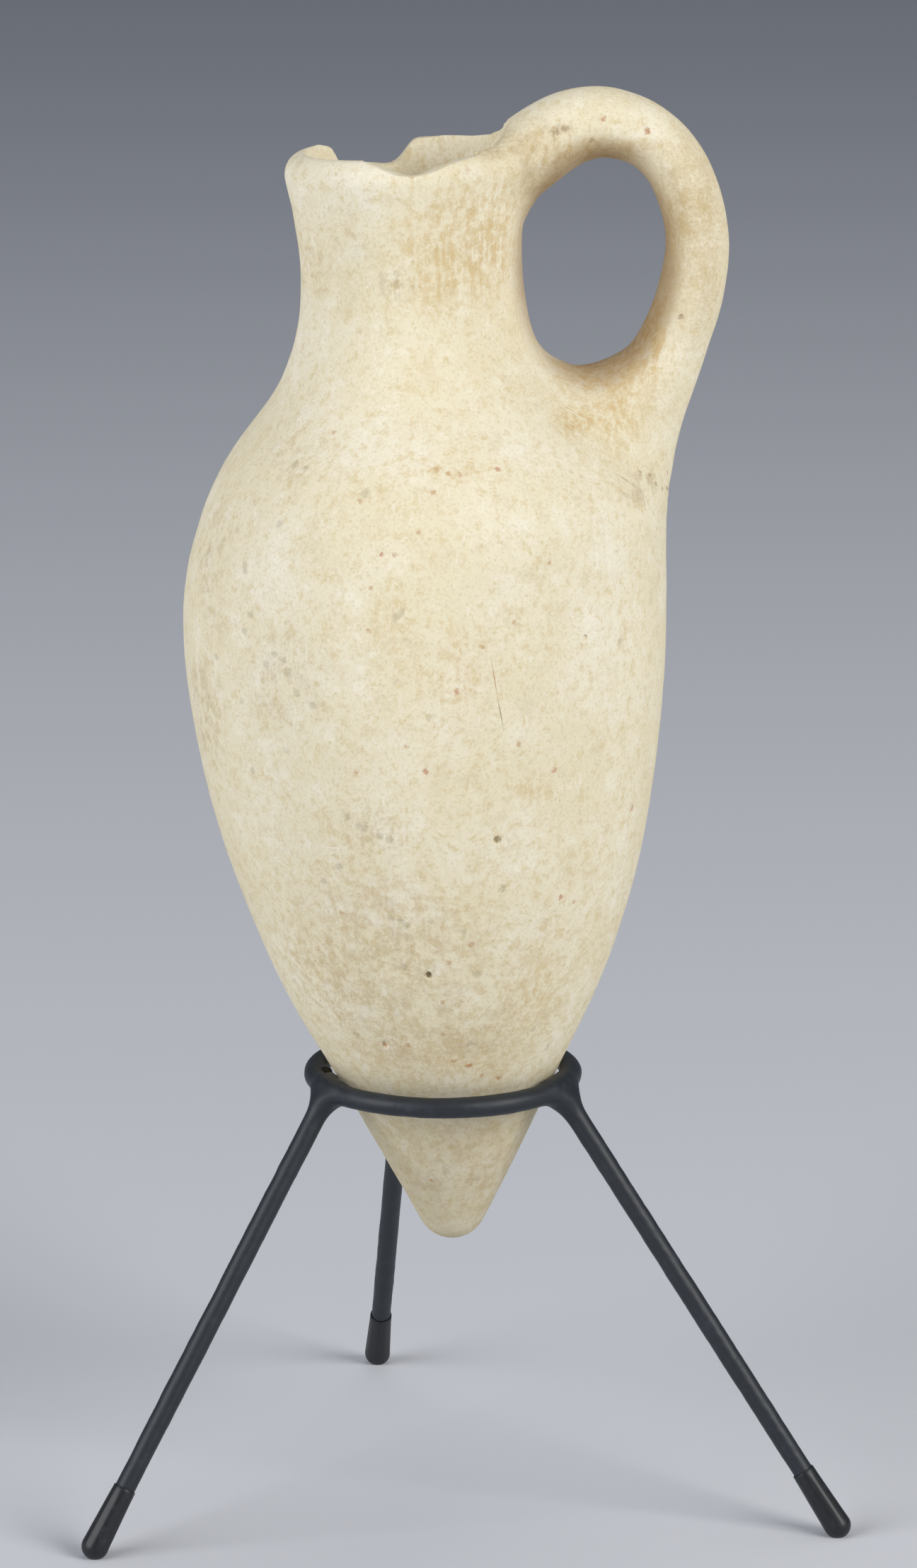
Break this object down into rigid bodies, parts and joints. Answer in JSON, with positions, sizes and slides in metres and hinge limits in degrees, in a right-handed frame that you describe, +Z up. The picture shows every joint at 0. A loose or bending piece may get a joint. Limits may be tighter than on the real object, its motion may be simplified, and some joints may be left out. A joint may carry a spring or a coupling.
{
  "type": "dipper juglet",
  "caption": "Small pointed-base clay juglet with a tall neck, broken rim and looped handle, held upright in a ring stand with splayed rod legs.",
  "frame": {"origin": "centre of the overall box's underside, on the surface that the stand's feet rest on", "axes": "+Z up; the handle points along +X and the stand's two front feet are towards -Y"},
  "size_m": [0.1134, 0.094, 0.212],
  "materials": {
    "fired_clay": "unglazed cream-buff fired clay, worn smooth, mottled with orange and grey soil stains, pits and fine scratches",
    "black_coating": "matte black dipped or sprayed coating over bent and welded steel rod",
    "black_rubber": "satin black domed foot cap"
  },
  "bodies": {
    "root": {"juglet": "fired_clay", "stand_frame": "black_coating", "foot_cap_left": "black_rubber", "foot_cap_right": "black_rubber", "foot_cap_rear": "black_rubber"}
  },
  "joints": []
}
